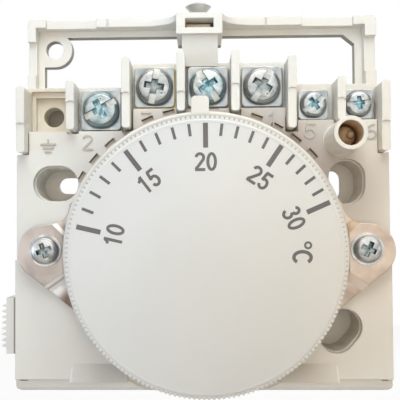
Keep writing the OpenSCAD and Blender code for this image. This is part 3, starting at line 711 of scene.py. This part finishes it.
def strokePiece(path, width, thick):
    closed = len(path) > 2 and (Vector(path[0]) - Vector(path[-1])).length < 1e-6
    points = [Vector(p) for p in (path[:-1] if closed else path)]
    sides = [[], []]
    for k, point in enumerate(points):
        before = points[k - 1] if k or closed else point
        after = points[(k + 1) % len(points)] if k + 1 < len(points) or closed else point
        along = (after - before).normalized()
        across = Vector((-along.y, along.x)) * width / 2
        sides[0].append(point + across)
        sides[1].append(point - across)
    outlines = sides if closed else [sides[0] + sides[1][::-1]]
    sheet = bpy.data.curves.new("stroke", "CURVE")
    sheet.dimensions = "2D"
    sheet.fill_mode = "BOTH"
    sheet.extrude = thick / 2 * mm
    for outline in outlines:
        spline = sheet.splines.new("POLY")
        spline.points.add(len(outline) - 1)
        for spot, at in zip(spline.points, outline):
            spot.co = (at.x * mm, at.y * mm, 0, 1)
        spline.use_cyclic_u = True
    stroke = bpy.data.objects.new("stroke", sheet)
    bpy.context.collection.objects.link(stroke)
    pick(stroke)
    bpy.ops.object.convert(target="MESH")
    return bpy.context.object


def letter(text, height, stroke, place, turn):
    # strokes of a word in mm, centred on a place on the panel and turned there
    drawn = glyphs(stroke / height / 2)
    step = glyphWide + glyphGap
    left = -(len(text) * step - glyphGap) / 2
    spin = Matrix.Rotation(math.radians(turn), 2)
    return [[tuple(spin @ (Vector((left + k * step + u, v - 0.5)) * height) + Vector(place))
             for u, v in path]
            for k, character in enumerate(text) for path in drawn[character]]


# crossing strokes lie a hair apart in mm, so that none of them fights with another
strokeLayers = {"count": 4, "apart": 0.0015}


def printed(name, strokes, level, thick):
    # strokes: (path, width), all at one level above the wall
    pieces = [strokePiece(path, width, thick) for path, width in strokes]
    for k, piece in enumerate(pieces):
        piece.location.z = k % strokeLayers["count"] * strokeLayers["apart"] * mm
    bpy.context.view_layer.update()
    whole = joined(pieces, name)
    whole.matrix_world = (Matrix.Translation((0, -level * mm, 0))
                          @ Matrix.Rotation(math.radians(90), 4, "X"))
    settle(whole)
    return whole


dialPrint = {
    "axis": (0.80, -11.9),
    "level": 37.965,
    "thick": 0.02,
    "from": 10,
    "to": 30,
    "numberEvery": 5,
    # angle at 20 degrees, its change for every five more, and how much that change slackens
    "angles": (90.2, -35.8, 1.25),
    "outer": 25.8,
    # length and width
    "major": (4.8, 0.96),
    "minor": (2.4, 0.58),
    "numeralRadius": 18.3,
    "numeralHeight": 3.65,
    "numeralStroke": 0.58,
    # the C and the small ring beside it, which read downwards; an arc is from, to and steps
    "unitMiddle": (19.11, -12.12),
    "unitHalf": (1.64, 1.11),
    "unitArc": (-50, 230, 30),
    "unitStroke": 0.67,
    "degreeMiddle": (20.2, -9.8),
    "degreeRadius": 0.775,
    "degreeArc": (0, 360, 24),
    "degreeStroke": 0.41,
}


def scaleAngle(temperature):
    start, each, slack = dialPrint["angles"]
    fives = (temperature - 20) / 5
    return start + each * fives + slack * fives * fives


def printDial():
    look = dialPrint
    axis = Vector(look["axis"])
    lowest, highest, every = look["from"], look["to"], look["numberEvery"]
    strokes = []
    for temperature in range(lowest, highest + 1):
        angle = math.radians(scaleAngle(temperature))
        length, width = look["minor"] if temperature % every else look["major"]
        ray = Vector((math.cos(angle), math.sin(angle)))
        ends = [tuple(axis + ray * (look["outer"] - inward)) for inward in (0, length)]
        strokes.append((ends, width))
    for temperature in range(lowest, highest + 1, every):
        turn = scaleAngle(temperature)
        ray = Vector((math.cos(math.radians(turn)), math.sin(math.radians(turn))))
        place = axis + ray * look["numeralRadius"]
        for path in letter(str(temperature), look["numeralHeight"], look["numeralStroke"],
                           place, turn - 90):
            strokes.append((path, look["numeralStroke"]))
    unit = arcPath(*look["unitMiddle"], *look["unitHalf"], *look["unitArc"])
    radius = look["degreeRadius"] - look["degreeStroke"] / 2
    degree = arcPath(*look["degreeMiddle"], radius, radius, *look["degreeArc"])
    strokes += [(unit, look["unitStroke"]), (degree, look["degreeStroke"])]
    ink = wear(printed("dialPrint", strokes, look["level"], look["thick"]), "dialInk")
    dress(ink, "dial", "white_plastic")


# a grey ring just below the face, seen through the notches between the teeth: painted shade,
# standing in for the shade in the notches
notchShadeRing = {"inner": 25.8, "outer": 27.12, "levels": (36.9, 37.3), "steps": 120}


def stepTeeth():
    d = notchShadeRing
    low, high = d["levels"]
    profile = [(d["inner"], low), (d["outer"], low), (d["outer"], high), (d["inner"], high),
               (d["inner"], low)]
    ring = turned("notchShadeRing", profile, d["steps"])
    step = stood(ring, "notchShadeRing", dialAxis + (0,))
    bpy.data.objects.remove(ring)
    wear(step, "notchShadeGrey")
    dress(step, "dial", "white_plastic")


printDial()
stepTeeth()
print("stage: dial print")


# raised terminal numbers and the earth sign, at the panel's level, painted darker than the panel
# for the shade along their strokes
panelSigns = {
    "level": 15.0,
    "thick": 0.3,
    "sunk": 0.05,
    "stroke": 0.4,
    # character, middle in mm, height, how much wider than the plain stroke shape
    "numbers": [("2", (-25.2, 12.6), 3.4, 1.25), ("1", (15.55, 17.4), 3.4, 1.4),
                ("5", (23.75, 14.75), 3.5, 1.4), ("6", (37.0, 14.45), 3.5, 1.35)],
    # what shows of the 3: middle, length and width of its top bar
    "bar": ((-12.2, 19.0), 2.2, 0.25),
    "earth": (-33.9, 11.9),
    # top and foot of the earth sign's stem, then half length and height of its bars
    "earthStem": (1.5, 0.35),
    "earthBars": [(1.75, 0.35), (1.15, -0.45), (0.75, -1.35)],
}


def raiseSigns():
    look = panelSigns
    stroke = look["stroke"]
    strokes = []
    for text, place, height, wide in look["numbers"]:
        for path in letter(text, height, stroke, (0, 0), 0):
            strokes.append(([(place[0] + u * wide, place[1] + v) for u, v in path], stroke))
    (x, y), length, width = look["bar"]
    strokes.append(([(x - length / 2, y), (x + length / 2, y)], width))
    x, y = look["earth"]
    strokes.append(([(x, y + end) for end in look["earthStem"]], stroke))
    for half, rise in look["earthBars"]:
        strokes.append(([(x - half, y + rise), (x + half, y + rise)], stroke))
    middle = look["level"] + look["thick"] / 2 - look["sunk"]
    signs = wear(printed("terminalNumbers", strokes, middle, look["thick"]), "shadedNumberIvory")
    dress(signs, "chassis", "ivory_plastic")


raiseSigns()
print("stage: raised numbers")


# terminal screws: a pan head with a slot right across and a cross in the middle
headFinishes = {
    # top, rim and cross: painted lightest to darkest, for how light falls on the head
    "clear": ("clearTop", "clearRim", "clearPit"),
    "teal": ("tealTop", "tealRim", "tealPit"),
    "small": ("smallTop", "clearRim", "tealPit"),
}
terminals = {
    # place in mm, turn of the slot, size, finishes of the head, finish of the strip below
    1: ((13.45, 25.0), 60, "big", "clear", "dullStrip"),
    2: ((-22.45, 20.0), 209, "big", "teal", "dullStrip"),
    3: ((-10.43, 25.0), 80, "big", "clear", "stampedBrass"),
    4: ((1.45, 25.0), -57, "big", "teal", "copperStrip"),
    5: ((24.8, 20.8), 36, "small", "small", "dullStrip"),
    6: ((34.7, 20.85), 186, "small", "small", "dullStrip"),
}
# levels of the backs of the heads and plates above the wall, in mm
headBack = 13.2
plateBack = 12.1
screwSizes = {
    # mm: head radius and height, shank radius and length, width of the slot, arms of the cross
    # as (half length, turn) and their width, place of the ring mark, rounding, steps of the
    # lathe, side of the plate
    "big": {"head": 4.0, "high": 2.4, "shank": 2.0, "long": 7.5, "slot": 1.48,
            "arms": ((2.55, 90), (2.193, 0)), "arm": 1.6, "mark": (-1.15, -1.85),
            "soft": 0.045, "steps": 64, "plate": 9.0},
    "small": {"head": 2.8, "high": 2.0, "shank": 1.5, "long": 7.5, "slot": 0.95,
              "arms": ((1.75, 90), (1.505, 0)), "arm": 1.05, "mark": (-0.85, -1.4),
              "soft": 0.0315, "steps": 64, "plate": 6.6},
}
panHead = {
    # shares of the head's radius and height: a side that rounds over, a top that is nearly level
    "side": [(0.998, 0.34), (0.99, 0.50), (0.97, 0.64), (0.94, 0.74), (0.90, 0.815),
             (0.86, 0.86), (0.83, 0.87), (0.80, 0.89)],
    "top": [(0.66, 0.935), (0.48, 0.965), (0.32, 0.985), (0.15, 0.996)],
    # mm: bevel of the shank's end, foot of the head, how far the cutters of slot and cross
    # stand out over the head, and those of the mark
    "shankBevel": 0.35,
    "foot": 0.12,
    "cutOver": 1,
    "markOver": 0.5,
}
headShares = {
    # shares of the head's radius
    # outside this share the head is painted darker, for the shade on its rounded side
    "rim": 0.82,
    # a near-black painted shade on the head's foot and on a thin ring round its top
    "shadeFoot": 0.9,
    "shadeRing": (0.83, 0.86),
    # shares of the head's height
    # up to this height the foot gets the near-black painted shade
    "shadeTop": 0.34,
    "slotFloor": 0.62,
    "crossDeep": 0.60,
    # ring and dot: height of the floor, then radii at the floor and above the head
    "ring": (0.88, (0.085, 0.07), (0.15, 0.165)),
    "dot": (0.84, (0.03, 0.035)),
}
# mm above the head's back where its rim's finish starts
rimLevel = 0.1
# how much the floor of a cross is smaller than its mouth
crossTaper = (0.72, 0.8, 1)


def panProfile(d):
    r, h, shank, end = d["head"], d["high"], d["shank"], -d["long"]
    bevel, foot = panHead["shankBevel"], panHead["foot"]
    return ([(0, end), (shank - bevel, end), (shank, end + bevel), (shank, 0),
             (r - foot, 0), (r, foot)]
            + [(x * r, y * h) for x, y in panHead["side"] + panHead["top"]] + [(0, h)])


def crossCutters(d, deep, finish):
    # a bar for each pair of arms, which narrows a little with depth
    bars = []
    for reach, turn in d["arms"]:
        bar = block("crossBar", (-reach, reach), (-d["arm"] / 2, d["arm"] / 2),
                    (d["high"] - deep, d["high"] + panHead["cutOver"]))
        pick(bar)
        bpy.ops.object.mode_set(mode="EDIT")
        pickFaces(lambda middle, normal: normal.z < -0.5)
        bpy.ops.transform.resize(value=crossTaper)
        bpy.ops.object.mode_set(mode="OBJECT")
        bar.rotation_euler = (0, 0, math.radians(turn))
        settle(bar)
        bars.append(wear(bar, finish))
    return bars


def markCutters(d):
    # a stamped ring with a dot in it
    r, h, share = d["head"], d["high"], headShares
    over = h + panHead["markOver"]
    level, (inner, innerOver), (outer, outerOver) = share["ring"]
    ring = turned("markCutter", [(inner * r, h * level), (outer * r, h * level),
                                 (outerOver * r, over), (innerOver * r, over),
                                 (inner * r, h * level)], 20)
    level, (outer, outerOver) = share["dot"]
    dot = turned("dotCutter", [(0, h * level), (outer * r, h * level), (outerOver * r, over),
                               (0, over)], 10)
    for cutter, finish in ((ring, "slotFloor"), (dot, "darkPaintedShade")):
        cutter.location = (d["mark"][0] * mm, d["mark"][1] * mm, 0)
        settle(cutter)
        wear(cutter, finish)
    return ring, dot


def makeTerminalScrew(size, looks):
    d, share = screwSizes[size], headShares
    r, h = d["head"], d["high"]
    topFinish, rimFinish, pitFinish = headFinishes[looks]
    # painted light and shade on the head: a darker rim, near black on the foot, round the top and
    # on the slot's walls, a paler slot floor and a darker cross
    foot = inRing(share["shadeFoot"] * r, math.inf, 0, share["shadeTop"] * h)
    line = inRing(share["shadeRing"][0] * r, share["shadeRing"][1] * r, 0, math.inf)
    screw = wear(turned("screwMaster", panProfile(d), d["steps"]), topFinish)
    paintFaces(screw, rimFinish, inRing(share["rim"] * r, math.inf, rimLevel, math.inf))
    paintFaces(screw, "darkPaintedShade", lambda *face: foot(*face) or line(*face))
    slot = block("slotCutter", (-r - 1, r + 1), (-d["slot"] / 2, d["slot"] / 2),
                 (h * share["slotFloor"], h + panHead["cutOver"]))
    wear(slot, "slotFloor")
    paintFaces(slot, "darkPaintedShade", lambda middle, normal: abs(normal.y) > 0.5)
    cross = crossCutters(d, h * share["crossDeep"], pitFinish)
    cutAway(screw, slot, *cross, *markCutters(d))
    softEdges(screw, d["soft"])
    return screw


# clamping plates: square washers with rounded corners, a shallow dish and a soft rim, in mm
clampPlate = {
    "thick": 1.1,
    "corner": 0.9,
    "inset": 0.25,
    # floor and lip of the dish, and how far each reaches past the screw's head
    "dish": ((0.98, -0.1), (1.14, 0.3)),
    # the cutters of the dish and the hole go on to these heights
    "dishOver": 2,
    "holeEnds": (-1, 3),
    "play": 0.1,
    "soft": 0.14,
}


def makeClampPlate(size):
    d, look = screwSizes[size], clampPlate
    half = d["plate"] / 2
    plate = block("plateMaster", (-half, half), (-half, half), (0, look["thick"]))
    pick(plate)
    bpy.ops.object.mode_set(mode="EDIT")
    bpy.ops.mesh.select_mode(type="EDGE")
    net = bmesh.from_edit_mesh(plate.data)
    for edge in net.edges:
        ends = [v.co for v in edge.verts]
        edge.select_set(abs(ends[0].z - ends[1].z) > look["thick"] / 2 * mm)
    bmesh.update_edit_mesh(plate.data)
    bpy.ops.mesh.bevel(offset=look["corner"] * mm, segments=5, affect="EDGES")
    pickFaces(lambda middle, normal: normal.z > 0.9)
    bpy.ops.mesh.inset(thickness=look["inset"] * mm, depth=0)
    bpy.ops.object.mode_set(mode="OBJECT")
    wear(plate, "plateZinc")
    (floor, floorPast), (lip, lipPast) = look["dish"]
    inner, outer, over = d["head"] + floorPast, d["head"] + lipPast, look["dishOver"]
    dish = turned("dishCutter", [(0, floor), (inner, floor), (outer, lip), (outer, over),
                                 (0, over)], 64)
    bore = d["shank"] + look["play"]
    low, high = look["holeEnds"]
    hole = turned("holeCutter", [(0, low), (bore, low), (bore, high), (0, high)], 32)
    cutAway(plate, wear(dish, "plateZinc"), wear(hole, "plateZinc"))
    softEdges(plate, look["soft"], 3)
    return plate


def fitTerminals():
    plates = {size: makeClampPlate(size) for size in screwSizes}
    for number, (place, turn, size, looks, strip) in terminals.items():
        master = makeTerminalScrew(size, looks)
        screw = stood(master, "terminalScrew%d" % number, place + (headBack,), turn)
        bpy.data.objects.remove(master)
        dress(screw, "screw_%d" % number, "zinc_plate", "terminal_screw_%d" % number)
        plate = stood(plates[size], "clampPlate%d" % number, place + (plateBack,))
        dress(plate, "clamp_%d" % number, "zinc_plate", "clamp_plate_%d" % number)
        wear(cadNodes["terminal_strip_%d" % number], strip)
    for master in plates.values():
        bpy.data.objects.remove(master)


fitTerminals()
print("stage: terminals")


# screws of the bracket: the same head with a wide cross and no slot, standing on the washer
bracketScrews = {
    # name, place in mm, turn
    "bracket_screw_left": ("BracketScrewLeft", (-34.05, -11.1, 18.1), 20),
    "bracket_screw_right": ("BracketScrewRight", (35.35, -11.1, 18.1), 65),
}
bracketScrew = {"head": 3.0, "high": 2.1, "shank": 1.5, "long": 10.0,
                "arms": ((2.0, 0), (1.92, 90)), "arm": 1.15, "soft": 0.06, "steps": 56}
# shares of the head's radius and height
bracketShares = {"rim": 0.80, "crossDeep": 0.5}


def fitBracketScrews():
    d, share = bracketScrew, bracketShares
    for node, (name, place, turn) in bracketScrews.items():
        master = wear(turned("screwMaster", panProfile(d), d["steps"]), "brightNickel")
        rim = inRing(share["rim"] * d["head"], math.inf, rimLevel, math.inf)
        # a darker rim and a darker cross on the head: painted shade
        paintFaces(master, "clearRim", rim)
        cutAway(master, *crossCutters(d, d["high"] * share["crossDeep"], "clearPit"))
        softEdges(master, d["soft"])
        screw = stood(master, name, place, turn)
        bpy.data.objects.remove(master)
        dress(screw, "chassis", "nickel_steel", node)


fitBracketScrews()
print("stage: bracket screws")


# neon lamp: a glass envelope with a pinched tip beside its middle, two rods and their leads;
# each profile is (radius, level above the wall) in mm
neonLamp = {
    "glass": [(0, 13.6), (1.7, 13.6), (2.2, 14.2), (2.3, 15.0), (2.3, 20.6), (2.16, 21.4),
              (1.85, 22.1), (1.4, 22.6), (0.8, 22.9), (0, 23.0)],
    "tip": [(0, 21.6), (1.0, 21.6), (0.92, 22.5), (0.80, 23.3), (0.74, 23.8), (0.62, 24.2),
            (0.34, 24.42), (0, 24.48)],
    "rod": [(0, 15.0), (0.36, 15.0), (0.36, 20.2), (0.26, 20.5), (0, 20.6)],
    "lead": [(0, 11.05), (0.25, 11.05), (0.25, 15.2), (0, 15.2)],
    # profile, how far from the lamp's axis, finish
    "turnings": [("glass", (0, 0), "amberGlass"), ("tip", (0.75, 0.1), "amberGlass"),
                 ("rod", (-0.9, 0), "rolledSteel"), ("rod", (0.9, 0), "rolledSteel"),
                 ("lead", (-0.9, 0), "copperStrip"), ("lead", (0.9, 0), "copperStrip")],
    "soft": 0.22,
    "softAngle": 24,
    "smoothAngle": 40,
}


def makeNeonLamp():
    d = neonLamp
    x, y = lampPlace
    turnings = []
    for profile, (dx, dy), finish in d["turnings"]:
        master = turned("lampTurning", d[profile], 32)
        turnings.append(wear(stood(master, "lampTurning", (x + dx, y + dy, 0)), finish))
        bpy.data.objects.remove(master)
    # the tip is drawn out of the envelope, so the two are one skin
    glass, tip = turnings[:2]
    boolean(glass, tip, "UNION")
    softEdges(glass, d["soft"], 3, d["softAngle"])
    lamp = joined([glass] + turnings[2:], "neonLamp")
    bpy.ops.object.shade_smooth_by_angle(angle=math.radians(d["smoothAngle"]))
    dress(lamp, "chassis", "lamp_glass", "neon_lamp")


makeNeonLamp()
print("stage: neon lamp")


# finishes of the solids that stay as they are
solidFinishes = {
    "mouldedIvory": ("rear_base", "front_panel"),
    "knobIvory": ("slide_knob",),
    "dialWhite": ("dial",),
    "ringIvory": ("stop_ring",),
    "tanSheet": ("sensor_bracket",),
    "brightNickel": ("bracket_washer_left", "bracket_washer_right"),
    "paleBrass": ("cover_nut",),
    "stampedBrass": ("threaded_bush", "dial_spindle", "blade_anchor", "contact_front",
                     "contact_rear", "slide_contact_upper", "slide_contact_lower"),
    "coilBronze": ("snap_blade", "slide_bridge"),
    "rolledSteel": ("vapour_capsule", "cover_screw"),
    "pinPlastic": ("push_pin",),
    "tanLacquer": ("anticipator_resistor",),
    "brownLacquer": ("neon_resistor",),
}
for finish, names in solidFinishes.items():
    for name in names:
        wear(cadNodes[name], finish)
print("stage: finishes of the solids")
